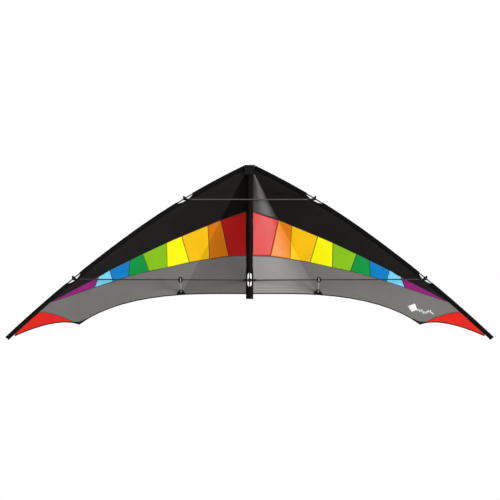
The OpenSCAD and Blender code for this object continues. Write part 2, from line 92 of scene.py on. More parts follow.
def mix(a, b, t):
    """The value or point a share t of the way from a to b."""
    if isinstance(a, (int, float)):
        return a + (b - a) * t
    return tuple(mix(p, q, t) for p, q in zip(a, b))


def outward(angle):
    """Direction away from the sail, across a leading edge that slopes by angle."""
    return math.sin(math.radians(angle)), math.cos(math.radians(angle))


def edge_angle(s):
    """Slope of the leading edge, in degrees, at a distance s along it from the nose."""
    upper = min(s, UPPER_LEN) / UPPER_R
    lower = max(s - UPPER_LEN, 0) / LOWER_R
    return START_ANGLE + math.degrees(upper + lower)


JOIN_ANGLE = edge_angle(UPPER_LEN)
UPPER_CENTRE = tuple(n - UPPER_R * o for n, o in zip(NOSE, outward(START_ANGLE)))
LOWER_CENTRE = tuple(
    c + (UPPER_R - LOWER_R) * o for c, o in zip(UPPER_CENTRE, outward(JOIN_ANGLE))
)


def edge_point(s, inset=0):
    """The point (x, z) at a distance s along the leading edge and an inset from it."""
    centre, radius = (UPPER_CENTRE, UPPER_R) if s < UPPER_LEN else (LOWER_CENTRE, LOWER_R)
    return tuple(c + (radius - inset) * o for c, o in zip(centre, outward(edge_angle(s))))


def angle_from(centre, p):
    """Angle in degrees from straight up, seen from an arc's centre."""
    return math.degrees(math.atan2(p[0] - centre[0], p[1] - centre[1]))


def along_edge(p):
    """Distance along the leading edge of the place nearest to a point (x, z)."""
    angle = angle_from(UPPER_CENTRE, p)
    if angle < JOIN_ANGLE:
        return math.radians(angle - START_ANGLE) * UPPER_R
    return UPPER_LEN + math.radians(angle_from(LOWER_CENTRE, p) - JOIN_ANGLE) * LOWER_R


def inside_rod(p):
    """Distance of a point inside the line of the leading-edge rods."""
    if angle_from(UPPER_CENTRE, p) < JOIN_ANGLE:
        return UPPER_R - math.dist(p, UPPER_CENTRE) - ROD_INSET
    return LOWER_R - math.dist(p, LOWER_CENTRE) - ROD_INSET


DEPTH_AT_FOOT = inside_rod(CREASE_FOOT)


def crease_x(z):
    """Where the crease from the nose to the standoff is at a height."""
    share = (CREASE_TOP[1] - z) / (CREASE_TOP[1] - CREASE_FOOT[1])
    return mix(CREASE_TOP[0], CREASE_FOOT[0], share)


def outer_depth(p):
    """Depth of the sail outside the crease, behind the frame."""
    return SAIL_DEPTH * (max(inside_rod(p), 0) / DEPTH_AT_FOOT) ** BILLOW_POWER


def sail_y(p):
    """Depth of the sail's front face behind the frame."""
    cx = crease_x(min(p[1], CREASE_TOP[1]))
    if p[0] >= cx:
        return outer_depth(p)
    t = max(p[0] - ROOT_X, 0) / (cx - ROOT_X)
    return outer_depth((cx, p[1])) * mix(t, math.sin(math.pi / 2 * t), INNER_ROUND)


def bend(a, c, b, t):
    """A point of the curve from a to b with the control point c."""
    return mix(mix(a, c, t), mix(c, b, t), t)


def refine(points, parts):
    """The same line with each stretch cut into parts."""
    steps = [mix(a, b, k / parts) for a, b in zip(points, points[1:]) for k in range(parts)]
    return steps + [points[-1]]


def resample(line, parts):
    """Points evenly spaced along a line."""
    lengths = [0.0]
    for a, b in zip(line, line[1:]):
        lengths.append(lengths[-1] + math.dist(a, b))
    out, i = [], 0
    for k in range(parts + 1):
        want = lengths[-1] * k / parts
        while i < len(line) - 2 and lengths[i + 1] < want:
            i += 1
        stretch = lengths[i + 1] - lengths[i]
        out.append(mix(line[i], line[i + 1], min(max((want - lengths[i]) / stretch, 0), 1)))
    return out


def line_length(points):
    """Length of a line through points."""
    return sum(math.dist(a, b) for a, b in zip(points, points[1:]))


def smooth_line(points, parts):
    """A smooth line through all the points, by a Catmull-Rom curve."""
    line = []
    for i in range(len(points) - 1):
        a, b = points[i], points[i + 1]
        before = points[i - 1] if i else mix(b, a, 2)
        after = points[i + 2] if i + 2 < len(points) else mix(a, b, 2)
        for k in range(parts):
            t = k / parts
            line.append(
                tuple(
                    q + 0.5 * t * (r - p + t * (2 * p - 5 * q + 4 * r - w + t * (3 * (q - r) + w - p)))
                    for p, q, r, w in zip(before, a, b, after)
                )
            )
    return line + [points[-1]]


# Seams from the root to the leading edge: above and below the coloured panels
RAINBOW_END = along_edge((973, -114))
END_W = 3
SEAM_TOP = [
    (ROOT_X, 341), (143, 295), (207, 269), (336, 215.5), (411, 183), (528, 128),
    (590, 97), (690, 47.5), (745, 15.5), edge_point(RAINBOW_END, SLEEVE_W),
]
SEAM_LOW = [
    (ROOT_X, 119.5), (103, 117), (200, 103.5), (299, 86.5), (408, 62), (498, 43),
    (598, 18), (675.5, -8), (764.5, -36.5), edge_point(RAINBOW_END + END_W, SLEEVE_W),
]

# Trailing edge and tip
TAIL_START = (ROOT_X, -69.5)
TAIL_BEND = (240, -69)
OUTER_BEND = (674, -96.5)
CORNER = (842, -221.5)
TIP_BEND = (955, -180)
TIP_END = (1188, -292)
TIP_SEAM_BEND = (964, -158)
GREY_END = along_edge((1029, -160))
TIP_SEAM_END = edge_point(GREY_END + END_W, SLEEVE_W)
TIP_START = 0.12
TIP_STOP = 0.93
CORNER_H = 10


def inner_tail(t):
    """The trailing edge from the root to the standoff."""
    return bend(TAIL_START, TAIL_BEND, CREASE_FOOT, t)


def outer_tail(t):
    """The trailing edge from the standoff to the corner."""
    return bend(CREASE_FOOT, OUTER_BEND, CORNER, t)


def tip_tail(t):
    """The trailing edge from the corner to the tip."""
    return bend(CORNER, TIP_BEND, TIP_END, t)


def tip_seam(t):
    """The seam between the grey panel and the tip panel."""
    return bend(CORNER, TIP_SEAM_BEND, TIP_SEAM_END, t)


def raised(p, dz):
    """The point p moved up by dz."""
    return p[0], p[1] + dz


TIP_LAST_S = along_edge(raised(tip_tail(TIP_STOP), HEM_W))

# ---- Making meshes -----------------------------------------------------------

# Corners closer than this are joined, in millimetres
WELD = 0.01


def thicken(obj, thickness, offset=-1):
    """Gives a sheet its thickness, behind its faces or, with offset 0, half on each side."""
    solid = obj.modifiers.new("thickness", "SOLIDIFY")
    solid.thickness = thickness * MM
    solid.offset = offset


class Shape:
    """Vertices and faces in millimetres, mirrored for a left-hand piece."""

    def __init__(self, sign=1):
        self.sign = sign
        self.verts = []
        self.faces = []

    def add(self, points, faces):
        first = len(self.verts)
        self.verts += [tuple(p) for p in points]
        self.faces += [tuple(first + i for i in face) for face in faces]

    def sheet(self, rows):
        """A grid of quads over rows of points, each row as long as the next."""
        n = len(rows[0])
        faces = [
            (i * n + j, i * n + j + 1, (i + 1) * n + j + 1, (i + 1) * n + j)
            for i in range(len(rows) - 1)
            for j in range(n - 1)
        ]
        self.add([p for row in rows for p in row], faces)

    def rings(self, rings, closed=False):
        """A skin over rings of points, with its ends filled unless it is closed."""
        n, m = len(rings[0]), len(rings)
        faces = [
            (i * n + j, i * n + (j + 1) % n, (i + 1) % m * n + (j + 1) % n, (i + 1) % m * n + j)
            for i in range(m if closed else m - 1)
            for j in range(n)
        ]
        if not closed:
            faces += [tuple(range(n - 1, -1, -1)), tuple((m - 1) * n + j for j in range(n))]
        self.add([p for ring in rings for p in ring], faces)

    def lathe(self, place, profile, sides=32, bored=False):
        """Turns (distance along X, radius) pairs about the X axis of a placing matrix.

        A bored part has no end faces: its profile goes on through the bore.
        """
        turns = [2 * math.pi * k / sides for k in range(sides)]
        self.rings(
            [
                [place @ Vector((x, r * math.cos(a), r * math.sin(a))) for a in turns]
                for x, r in profile
            ],
            bored,
        )

    def tube(self, path, radius, sides=8):
        """A round tube along a path of points."""
        points = [Vector(p) for p in path]
        rings = []
        side = None
        for i, p in enumerate(points):
            before = points[i - 1] if i else p
            after = points[i + 1] if i + 1 < len(points) else p
            along = (after - before).normalized()
            side = side or along.orthogonal()
            side = (side - along * side.dot(along)).normalized()
            up = along.cross(side)
            turns = [2 * math.pi * k / sides for k in range(sides)]
            rings.append(
                [p + radius * (math.cos(a) * side + math.sin(a) * up) for a in turns]
            )
        self.rings(rings)

    def slab(self, place, low, high, bevel):
        """A box with rounded edges, between two corners in a placing matrix."""
        bm = bmesh.new()
        bmesh.ops.create_cube(bm, size=1)
        for v in bm.verts:
            v.co = Vector(mix(a, b, c + 0.5) for a, b, c in zip(low, high, v.co))
        bmesh.ops.bevel(bm, geom=bm.edges, offset=bevel, segments=3, profile=0.5, affect="EDGES")
        bm.verts.index_update()
        self.add([place @ v.co for v in bm.verts], [[v.index for v in f.verts] for f in bm.faces])
        bm.free()

    def piece(self, name, material, slot, body=None, replaces=(), thickness=0, sharp=40):
        """Makes the piece. A sheet is given its thickness towards the back."""
        mesh = bpy.data.meshes.new(name)
        verts = [(self.sign * x * MM, y * MM, z * MM) for x, y, z in self.verts]
        faces = self.faces if self.sign > 0 else [face[::-1] for face in self.faces]
        mesh.from_pydata(verts, [], faces)
        bm = bmesh.new()
        bm.from_mesh(mesh)
        bmesh.ops.remove_doubles(bm, verts=bm.verts, dist=WELD * MM)
        if thickness:
            facing = sum(f.normal.y * f.calc_area() for f in bm.faces)
            if facing > 0:
                bmesh.ops.reverse_faces(bm, faces=bm.faces)
        else:
            bmesh.ops.recalc_face_normals(bm, faces=bm.faces)
        bm.to_mesh(mesh)
        bm.free()
        mesh.shade_smooth()
        mesh.set_sharp_from_angle(angle=math.radians(sharp))
        mesh.materials.append(material)
        obj = bpy.data.objects.new(name, mesh)
        bpy.context.scene.collection.objects.link(obj)
        if thickness:
            thicken(obj, thickness)
        if body:
            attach(obj, body)
        if replaces:
            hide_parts(*replaces)
        return obj


def on_sail(p, proud=0.0):
    """The point of the sail's front face at (x, z), a little proud of it."""
    return p[0], sail_y(p) - proud, p[1]


def grid(low, high, rows):
    """Rows of (x, z) points between a lower and an upper line."""
    return [[mix(a, b, j / rows) for j in range(rows + 1)] for a, b in zip(low, high)]


def sail_shape(sign, columns, crease=True, relief=None, proud=0.0):
    """A panel on the sail's surface from columns of (x, z), with an edge along the crease."""
    shape = Shape(sign)
    flat = Shape()
    flat.sheet([[(x, 0, z) for x, z in column] for column in columns])
    bm = bmesh.new()
    verts = [bm.verts.new(v) for v in flat.verts]
    for face in flat.faces:
        bm.faces.new([verts[i] for i in face])
    if crease:
        top = Vector((CREASE_TOP[0], 0, CREASE_TOP[1]))
        foot = Vector((CREASE_FOOT[0], 0, CREASE_FOOT[1]))
        normal = (foot - top).cross(Vector((0, 1, 0)))
        bmesh.ops.bisect_plane(
            bm, geom=bm.verts[:] + bm.edges[:] + bm.faces[:], dist=0.05, plane_co=top, plane_no=normal
        )
    bm.verts.index_update()
    points = []
    for v in bm.verts:
        p = (v.co.x, v.co.z)
        points.append((p[0], sail_y(p) - proud - (relief(p) if relief else 0), p[1]))
    shape.add(points, [[v.index for v in f.verts] for f in bm.faces])
    bm.free()
    return shape


# ---- Materials ---------------------------------------------------------------


class Shade:
    """A material built from nodes round one Principled shader."""

    def __init__(self, name, roughness, specular, metallic=0.0):
        self.material = bpy.data.materials.new(name)
        self.material.use_nodes = True
        self.nodes = self.material.node_tree.nodes
        self.links = self.material.node_tree.links
        self.shader = self.nodes["Principled BSDF"]
        self.shader.inputs["Roughness"].default_value = roughness
        self.shader.inputs["Specular IOR Level"].default_value = specular
        self.shader.inputs["Metallic"].default_value = metallic

    def put(self, socket, value):
        """Sets a socket to a value, or links it to another node's output."""
        if isinstance(value, bpy.types.NodeSocket):
            self.links.new(value, socket)
        else:
            socket.default_value = value

    def math(self, operation, *values):
        """The result of a math node."""
        node = self.nodes.new("ShaderNodeMath")
        node.operation = operation
        for socket, value in zip(node.inputs, values):
            self.put(socket, value)
        return node.outputs[0]

    def ramp(self, value, low, high, to_low=0.0, to_high=1.0):
        """The value taken smoothly from one range to another."""
        node = self.nodes.new("ShaderNodeMapRange")
        node.interpolation_type = "SMOOTHSTEP"
        for key, given in zip(
            ("Value", "From Min", "From Max", "To Min", "To Max"), (value, low, high, to_low, to_high)
        ):
            self.put(node.inputs[key], given)
        return node.outputs["Result"]

    def blend(self, factor, a, b):
        """A mix of two colours. Inputs 6 and 7 and output 2 are the node's colour sockets."""
        node = self.nodes.new("ShaderNodeMix")
        node.data_type = "RGBA"
        self.put(node.inputs["Factor"], factor)
        for socket, value in ((node.inputs[6], a), (node.inputs[7], b)):
            self.put(socket, value if isinstance(value, bpy.types.NodeSocket) else (*value, 1))
        return node.outputs[2]

    def place(self, turn=(0, 0, 0)):
        """Object coordinates in millimetres, turned by angles in degrees."""
        coords = self.nodes.new("ShaderNodeTexCoord")
        mapping = self.nodes.new("ShaderNodeMapping")
        self.links.new(coords.outputs["Object"], mapping.inputs["Vector"])
        mapping.inputs["Scale"].default_value = (1 / MM, 1 / MM, 1 / MM)
        mapping.inputs["Rotation"].default_value = [math.radians(a) for a in turn]
        return mapping.outputs["Vector"]

    def noise(self, vector, size, detail=2.0, roughness=0.5):
        """Noise with blots of about size millimetres."""
        node = self.nodes.new("ShaderNodeTexNoise")
        self.links.new(vector, node.inputs["Vector"])
        node.inputs["Scale"].default_value = 1 / size
        node.inputs["Detail"].default_value = detail
        node.inputs["Roughness"].default_value = roughness
        return node.outputs["Fac"]

    def axes(self, vector):
        """The X, Y and Z of a vector."""
        node = self.nodes.new("ShaderNodeSeparateXYZ")
        self.links.new(vector, node.inputs[0])
        return node.outputs

    def lines(self, axis, pitch, width):
        """1 on lines across an axis, width a share of the pitch, and 0 between them."""
        cell = self.math("FRACT", self.math("DIVIDE", axis, pitch))
        away = self.math("ABSOLUTE", self.math("SUBTRACT", cell, 0.5))
        return self.ramp(away, 0.5 - width, 0.5 - width / 3)

    def bump(self, height, distance, strength):
        """Gives the shader a relief with a height of 0 to 1, distance in millimetres."""
        node = self.nodes.new("ShaderNodeBump")
        node.inputs["Strength"].default_value = strength
        node.inputs["Distance"].default_value = distance * MM
        self.put(node.inputs["Height"], height)
        self.links.new(node.outputs["Normal"], self.shader.inputs["Normal"])

    def finish(self, colour, roughness=None):
        """Puts the colour and the roughness on the shader and gives the material."""
        self.put(self.shader.inputs["Base Color"], colour)
        if roughness is not None:
            self.put(self.shader.inputs["Roughness"], roughness)
        return self.material


def times(colour, factor):
    """The colour made darker or lighter by a factor."""
    return tuple(min(c * factor, 1.0) for c in colour)


def plus(colour, amount):
    """The colour with an amount of white added."""
    return tuple(min(c + amount, 1.0) for c in colour)


def ripstop(name, colour, turn, roughness=0.30, specular=0.17):
    """Coated sailcloth: a 5 mm ripstop grid, its weave and faint handling marks."""
    s = Shade(name, roughness, specular)
    place = s.place((0, turn, 0))
    x, _, z = s.axes(place)
    ribs = s.math("MAXIMUM", s.lines(x, 5, 0.09), s.lines(z, 5, 0.09))
    weave = s.math("ADD", s.lines(x, 0.9, 0.3), s.lines(z, 0.9, 0.3))
    blots = s.noise(place, 160, 3)
    grain = s.noise(place, 2.2, 2)
    tone = s.blend(s.ramp(blots, 0.3, 0.7), times(colour, 0.93), plus(times(colour, 1.03), 0.001))
    tone = s.blend(s.math("MULTIPLY", ribs, 0.45), tone, plus(times(colour, 0.78), 0.002))
    tone = s.blend(s.math("MULTIPLY", grain, 0.10), tone, plus(times(colour, 1.15), 0.004))
    height = s.math("ADD", ribs, s.math("MULTIPLY", weave, 0.25))
    s.bump(s.math("ADD", height, s.math("MULTIPLY", grain, 0.4)), 0.10, 0.5)
    return s.finish(tone, s.ramp(blots, 0.25, 0.75, roughness - 0.03, roughness + 0.05))


def woven(name, colour, pitch, turn=0.0, roughness=0.75, specular=0.15):
    """Plain woven tape or heavy cloth, with ribs at a pitch and fuzz."""
    s = Shade(name, roughness, specular)
    place = s.place((0, turn, 0))
    x, y, z = s.axes(place)
    warp = s.lines(s.math("ADD", x, y), pitch, 0.35)
    weft = s.lines(z, pitch * 0.7, 0.35)
    cross = s.math("MAXIMUM", warp, weft)
    fuzz = s.noise(place, 3, 3)
    wear = s.ramp(s.noise(place, 45, 4, 0.6), 0.55, 0.75)
    tone = s.blend(s.math("MULTIPLY", cross, 0.55), colour, times(colour, 0.45))
    tone = s.blend(s.math("MULTIPLY", fuzz, 0.3), tone, plus(times(colour, 1.6), 0.003))
    tone = s.blend(s.math("MULTIPLY", wear, 0.35), tone, plus(times(colour, 2.0), 0.004))
    height = s.math("SUBTRACT", s.math("MULTIPLY", fuzz, 0.5), cross)
    s.bump(height, 0.22, 0.7)
    return s.finish(tone, s.ramp(fuzz, 0.3, 0.7, roughness - 0.08, roughness + 0.08))


def moulded(name, colour, roughness, specular, grain_size=1.2, scuff=0.25):
    """Moulded plastic or rubber: a fine grain with paler scuffs on it."""
    s = Shade(name, roughness, specular)
    place = s.place()
    grain = s.noise(place, grain_size, 3, 0.6)
    marks = s.ramp(s.noise(place, 9, 5, 0.65), 0.56, 0.72)
    tone = s.blend(s.math("MULTIPLY", marks, scuff), colour, plus(times(colour, 1.8), 0.02))
    tone = s.blend(s.math("MULTIPLY", grain, 0.3), tone, times(colour, 0.6))
    s.bump(grain, 0.08, 0.5)
    return s.finish(tone, s.ramp(marks, 0.0, 1.0, roughness, roughness + 0.15))


def carbon(name, colour, along, roughness=0.5, specular=0.3, weave=0.2):
    """Rolled carbon tube: a fine spiral wrap under resin, along axis 0 (X) or 2 (Z)."""
    s = Shade(name, roughness, specular)
    place = s.place()
    axes = s.axes(place)
    run = axes[along]
    around = s.math("ADD", axes[1], axes[2 - along])
    left = s.lines(s.math("ADD", run, around), 2.4, 0.4)
    right = s.lines(s.math("SUBTRACT", run, around), 2.4, 0.4)
    twill = s.math("MULTIPLY", left, right)
    resin = s.noise(place, 25, 3)
    tone = s.blend(s.math("MULTIPLY", twill, weave), colour, plus(times(colour, 1.9), 0.01))
    tone = s.blend(s.math("MULTIPLY", resin, 0.25), tone, times(colour, 0.7))
    s.bump(s.math("ADD", twill, s.math("MULTIPLY", resin, 0.5)), 0.04, 0.4)
    return s.finish(tone, s.ramp(resin, 0.3, 0.7, roughness - 0.06, roughness + 0.08))


def drawn_metal(name, colour):
    """Drawn aluminium tube with fine lines along it."""
    s = Shade(name, 0.35, 0.5, metallic=0.9)
    place = s.place()
    grain = s.noise(place, 0.8, 3)
    stain = s.noise(place, 14, 4)
    tone = s.blend(s.math("MULTIPLY", stain, 0.35), colour, times(colour, 0.7))
    s.bump(grain, 0.03, 0.4)
    return s.finish(tone, s.ramp(grain, 0.3, 0.7, 0.28, 0.45))


def thread(name, colour):
    """Twisted sewing thread."""
    s = Shade(name, 0.7, 0.2)
    place = s.place()
    x, _, z = s.axes(place)
    twist = s.lines(s.math("ADD", x, z), 0.8, 0.4)
    tone = s.blend(s.math("MULTIPLY", twist, 0.5), colour, times(colour, 0.55))
    s.bump(twist, 0.1, 0.6)
    return s.finish(tone)


COLOURS = {
    "red": (0.56, 0.012, 0.010),
    "orange": (0.74, 0.205, 0.004),
    "amber": (0.93, 0.53, 0.001),
    "yellow": (1.0, 0.94, 0.0),
    "lime": (0.24, 0.54, 0.008),
    "green": (0.001, 0.30, 0.050),
    "blue": (0.001, 0.21, 0.56),
    "sky": (0.19, 0.67, 0.92),
    "purple": (0.28, 0.010, 0.18),
}
BLACK_CLOTH = (0.0065, 0.0055, 0.0045)
GREY_CLOTH = (0.172, 0.167, 0.158)
TIP_CLOTH = (0.73, 0.014, 0.007)

# How light each cloth is beside its colour above: painted shade darkens the left wing's red, orange and
# grey, which lean away from the key light, and painted light brightens the right wing's orange, which
# leans towards it
PAINTED_SIDE_SHADING = {
    "left": {"red": 0.80, "orange": 0.88, "grey": 0.98},
    "right": {"red": 1.0, "orange": 1.04, "grey": 1.0},
}
cloths = {
    side: {
        name: ripstop(f"{side}_{name}_cloth", times(colour, side_shading.get(name, 1)), turn=7 * i)
        for i, (name, colour) in enumerate(COLOURS.items())
    }
    for side, side_shading in PAINTED_SIDE_SHADING.items()
}
black_cloth = ripstop("black_cloth", BLACK_CLOTH, turn=28)
# Grey cloths, the left one a little darker with painted shade
grey_cloths = {
    side: ripstop(f"{side}_grey_cloth", times(GREY_CLOTH, side_shading["grey"]), turn=-4)
    for side, side_shading in PAINTED_SIDE_SHADING.items()
}
tip_cloth = ripstop("tip_cloth", TIP_CLOTH, turn=35)
edge_tape = woven("edge_tape", (0.003, 0.003, 0.003), 1.4, turn=35, roughness=0.8, specular=0.12)
hem_tape = woven("hem_tape", (0.008, 0.008, 0.008), 1.4, roughness=0.8, specular=0.12)
strip_tape = woven("strip_tape", (0.005, 0.0045, 0.004), 2.0, specular=0.08)
nose_tape = woven("nose_tape", (0.004, 0.004, 0.004), 2.4)
patch_tape = woven("patch_tape", (0.004, 0.004, 0.004), 1.8, turn=45)
seam_line = woven("seam_line", (0.06, 0.045, 0.03), 0.9)
black_thread = thread("black_thread", (0.02, 0.02, 0.02))
dark_thread = thread("dark_thread", (0.012, 0.012, 0.012))
pale_thread = thread("pale_thread", (0.06, 0.06, 0.06))
white_print = moulded("white_print", (0.86, 0.86, 0.85), 0.5, 0.3, grain_size=2.0, scuff=0.1)
rubber = moulded("rubber", (0.004, 0.004, 0.004), 0.6, 0.15)
nylon = moulded("nylon", (0.004, 0.004, 0.004), 0.55, 0.2)
vinyl = moulded("vinyl", (0.006, 0.006, 0.006), 0.35, 0.35, grain_size=2.5)
carbon_z = carbon("carbon_along_z", (0.006, 0.006, 0.0065), 2, roughness=0.32, specular=0.5, weave=0.35)
carbon_x = carbon("carbon_along_x", (0.004, 0.004, 0.0045), 0, roughness=0.45, weave=0.35)
grey_rod = carbon("grey_rod", (0.075, 0.068, 0.062), 0)
lower_rod = carbon("lower_rod", (0.030, 0.028, 0.026), 0, specular=0.25)
pale_rod = carbon("pale_rod", (0.36, 0.35, 0.34), 2, weave=0.12)
ferrule = drawn_metal("ferrule", (0.6, 0.6, 0.62))

# ---- Sail panels -------------------------------------------------------------

CLOTH_T = 0.5
SEAM_PARTS = 20
SEAM_HALF_W = 1.1
SEAM_PROUD = 0.35
STITCH_SWING = 1.5
STITCH_R = 0.2
WINDOW_HALF_W = 10.5
WINDOW_TOP = 35
WINDOW_BOTTOM = -32
# Width over which the panels beside the root make way for the window
WINDOW_EASE = 40
# Where the black panel's top reaches the sleeve, along the leading edge
SLEEVE_MEETS = 15

# Shares along the curves of the trailing edge and of the tip panel's seam, and how far the
# panels' lower edges lie above the hem's
INNER_SHARES = (0, 0.25, 0.5, 0.75, 0.9)
OUTER_SHARES = [i / 8 for i in range(8)]
TIP_SHARES = (0.2, 0.3, 0.4, 0.5, 0.6, 0.7, 0.8, 0.88)
TIP_SEAM_SHARES = (0.3, 0.5, 0.7, 0.85)
PANEL_RISE = 1.5


def window_x(z):
    """Half width of the window round the tee at a height, or 0 outside it."""
    for middle in (WINDOW_TOP - WINDOW_HALF_W, WINDOW_BOTTOM + WINDOW_HALF_W):
        past = z - middle if middle > 0 else middle - z
        if past > 0:
            return math.sqrt(max(WINDOW_HALF_W**2 - past**2, 0))
    return WINDOW_HALF_W


def clear_of_window(p):
    """Moves points near the root out of the window."""
    push = max(window_x(p[1]) - ROOT_X, 0) * max(1 - (p[0] - ROOT_X) / WINDOW_EASE, 0)
    return p[0] + push, p[1]


def pucker(p):
    """Slight waves of the cloth, in millimetres."""
    x, z = p
    drift = 0.35 * math.sin(x / 37 + z / 90) * math.sin(z / 53 - x / 120)
    return drift + 0.12 * math.sin((x + 0.6 * z) / 11) * math.sin(z / 17)


def panel_area(columns):
    """Flat area in square metres of the panel with these columns, on the sail."""
    total = 0
    for a, b in zip(columns, columns[1:]):
        for p, q, r, s in zip(a, a[1:], b[1:], b):
            u, v = [Vector(on_sail(i)) - Vector(on_sail(j)) for i, j in ((r, p), (s, q))]
            total += u.cross(v).length / 2
    return total * MM * MM


def tail_columns(rows):
    """Columns of the grey panel from the trailing edge up to the seam."""
    low = [raised(inner_tail(t), PANEL_RISE) for t in INNER_SHARES]
    low += [raised(outer_tail(t), PANEL_RISE) for t in OUTER_SHARES]
    low += [raised(CORNER, HEM_W + CORNER_H - 4)]
    low += [tip_seam(t) for t in (TIP_START, *TIP_SEAM_SHARES, 1)]
    s = SEAM_LOW
    high = [s[0], s[1], mix(s[1], s[2], 0.5), s[2], mix(s[2], s[3], 0.35), mix(s[2], s[3], 0.5)]
    high += s[3:9]
    high += [mix(s[8], s[9], t) for t in (0.2, 0.4, 0.6, 0.8)]
    high += [s[9]]
    high += [edge_point(mix(RAINBOW_END, GREY_END, t), SLEEVE_W) for t in (0.4, 0.7, 1)]
    columns = grid(refine(low, 9), refine(high, 9), rows)
    return [[clear_of_window(p) for p in column] for column in columns]


def leading_columns(rows):
    """Columns of the black panel from the seam up to the sleeve."""
    inner_parts, outer_parts = 24, 150
    split = next(i for i, p in enumerate(seam_top) if p[0] >= crease_x(p[1]))
    low_inner = resample(seam_top[: split + 1], inner_parts)
    low_outer = resample(seam_top[split:], outer_parts)
    high_inner = resample([ROOT_TOP, NOSE_CORNER], inner_parts)
    sleeve = [
        edge_point(mix(SLEEVE_MEETS, RAINBOW_END - END_W, i / 200), SLEEVE_W) for i in range(201)
    ]
    high_outer = resample([NOSE_CORNER] + sleeve, outer_parts)
    return grid(low_inner + low_outer[1:], high_inner + high_outer[1:], rows)


def tip_columns(rows):
    """Columns of the tip panel from the trailing edge up to its seam and the sleeve."""
    low = [raised(tip_seam(TIP_START), -1)]
    low += [raised(tip_tail(t), PANEL_RISE) for t in TIP_SHARES]
    low += [edge_point(TIP_LAST_S - END_W, SLEEVE_W)]
    high = [tip_seam(t) for t in (TIP_START, *TIP_SEAM_SHARES)]
    high += [
        edge_point(mix(GREY_END + END_W, TIP_LAST_S, t), SLEEVE_W) for t in (0, 0.2, 0.4, 0.6, 0.8)
    ]
    return grid(refine(low, 9), refine(high, 9), rows)


def across_line(points, i):
    """Unit vector across a line of (x, z) points at one of them."""
    a, b = points[max(i - 1, 0)], points[min(i + 1, len(points) - 1)]
    reach = math.dist(a, b)
    return -(b[1] - a[1]) / reach, (b[0] - a[0]) / reach


def stitch_row(shape, path, proud, swing=0.0, pitch=3.0, radius=0.28):
    """A row of stitches on the sail: dashes, or a zigzag with a swing."""
    points = resample(path, max(int(line_length(path) / pitch), 2))
    placed = []
    for i, p in enumerate(points):
        nx, nz = across_line(points, i)
        side = swing if i % 2 else -swing
        placed.append((p[0] + nx * side, p[1] + nz * side))
    if swing:
        shape.tube([on_sail(q, proud) for q in placed], radius, 4)
        return
    for a, b in zip(placed, placed[1:]):
        start, end = mix(a, b, 0.14), mix(a, b, 0.86)
        loop = [
            on_sail(start, proud - radius),
            on_sail(mix(start, end, 0.5), proud + 0.1),
            on_sail(end, proud - radius),
        ]
        shape.tube(loop, radius, 4)


def seam_band(shape, path):
    """A raised fold of cloth along a seam."""
    points = resample(path, max(int(line_length(path) / 8), 2))
    rows = []
    for i, p in enumerate(points):
        nx, nz = across_line(points, i)
        row = []
        for k, lift in ((-1, 0.0), (-0.6, 1.0), (0.6, 1.0), (1, 0.0)):
            q = (p[0] + nx * SEAM_HALF_W * k, p[1] + nz * SEAM_HALF_W * k)
            row.append(on_sail(q, 0.06 + SEAM_PROUD * lift))
        rows.append(row)
    shape.sheet(rows)


def sail_panel(side, name, cloth, columns, node, crease=True):
    """One panel of a wing's sail, in place of its CAD node. Its area is worked out and not kept."""
    obj = sail_shape(SIDES[side], columns, crease, pucker).piece(
        f"{side}_{name}_sail", cloth, f"{name}_sailcloth", f"{side}_wing", [f"{side}_{node}_panel"],
        CLOTH_T, sharp=25,
    )
    panel_area(columns)


seam_top = smooth_line(SEAM_TOP, SEAM_PARTS)
seam_low = smooth_line(SEAM_LOW, SEAM_PARTS)
seams = [seam_top[1:-1], seam_low[1:-1]]
seams += [[SEAM_LOW[i], SEAM_TOP[i]] for i in range(1, len(COLOURS))]
seams += [[tip_seam(mix(TIP_START, 1, k / 20)) for k in range(21)]]

for side, sign in SIDES.items():
    sail_panel(side, "black", black_cloth, leading_columns(44), "leading")
    sail_panel(side, "grey", grey_cloths[side], tail_columns(34), "trailing")
    sail_panel(side, "tip", tip_cloth, tip_columns(14), "tip", crease=False)
    for i, name in enumerate(COLOURS):
        stretch = slice(SEAM_PARTS * i, SEAM_PARTS * (i + 1) + 1)
        sail_panel(side, name, cloths[side][name], grid(seam_low[stretch], seam_top[stretch], 30), name)

    folds, stitches = Shape(sign), Shape(sign)
    for seam in seams:
        seam_band(folds, seam)
        stitch_row(stitches, seam, 0.5, swing=STITCH_SWING, radius=STITCH_R)
    folds.piece(f"{side}_seam_folds", seam_line, "edge_cloth", f"{side}_wing", thickness=0.2)
    stitches.piece(f"{side}_seam_stitches", black_thread, "edge_cloth", f"{side}_wing")

# ---- Trailing hem ------------------------------------------------------------

HEM_T = 1.2
HEM_PROUD = 0.35


def hem_lines():
    """Lower and upper edges of the hem, from the root to the tip."""
    low = [inner_tail(t) for t in INNER_SHARES]
    low += [outer_tail(t) for t in OUTER_SHARES]
    low += [CORNER, tip_tail(TIP_START - 0.01), tip_tail(TIP_START)]
    low += [tip_tail(t) for t in (*TIP_SHARES, TIP_STOP)]
    first = tip_seam(TIP_START)
    high = [raised(inner_tail(t), HEM_W) for t in INNER_SHARES]
    high += [raised(outer_tail(t), HEM_W) for t in OUTER_SHARES]
    high += [raised(CORNER, HEM_W + CORNER_H), first, raised(first, -1)]
    high += [raised(tip_tail(t), HEM_W) for t in TIP_SHARES]
    high += [edge_point(TIP_LAST_S, SLEEVE_W)]
    return refine(low, 12), refine(high, 12)


def hem_relief(p):
    """Waves of the hem: those of the sail and the pull of its stitches."""
    return pucker(p) + 0.12 * math.sin(p[0] / 2.1)


